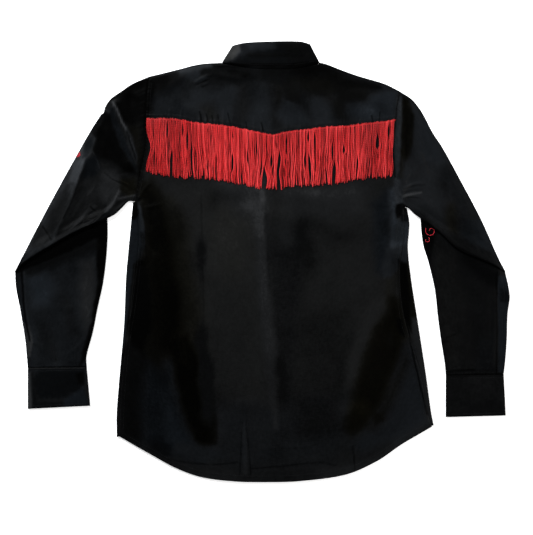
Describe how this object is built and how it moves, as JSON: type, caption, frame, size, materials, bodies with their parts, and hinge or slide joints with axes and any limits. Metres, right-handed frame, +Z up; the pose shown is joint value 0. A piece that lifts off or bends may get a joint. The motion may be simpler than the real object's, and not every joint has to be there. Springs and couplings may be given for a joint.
{
  "type": "western shirt",
  "caption": "Long-sleeved western shirt laid flat, face down, with a pointed back yoke hung with cord fringe, turned-down collar and deep cuffs.",
  "frame": {"origin": "middle of the shirt's footprint, on the surface it lies on", "axes": "+X towards the wearer's right sleeve, +Y towards the collar, +Z up out of the back"},
  "size_m": [0.9371, 0.8346, 0.0079],
  "materials": {
    "shirt_cloth": "black cotton poplin with a faint cool sheen",
    "shirt_trim": "black cotton poplin sewn double, pressed flat",
    "fringe_cord": "bright red rayon cord",
    "snap_cap": "black pearl press-stud cap"
  },
  "bodies": {
    "root": {"back": "shirt_cloth", "yoke": "shirt_cloth", "front_left": "shirt_cloth", "front_right": "shirt_cloth", "placket": "shirt_trim", "collar": "shirt_trim", "collar_stand": "shirt_trim", "sleeve_left": "shirt_cloth", "sleeve_right": "shirt_cloth", "cuff_left": "shirt_trim", "cuff_right": "shirt_trim", "fringe": "fringe_cord", "snap_1": "snap_cap", "snap_2": "snap_cap", "snap_3": "snap_cap", "snap_4": "snap_cap", "snap_5": "snap_cap", "snap_6": "snap_cap", "snap_7": "snap_cap", "cuff_left_snap_1": "snap_cap", "cuff_left_snap_2": "snap_cap", "cuff_right_snap_1": "snap_cap", "cuff_right_snap_2": "snap_cap"}
  },
  "joints": []
}
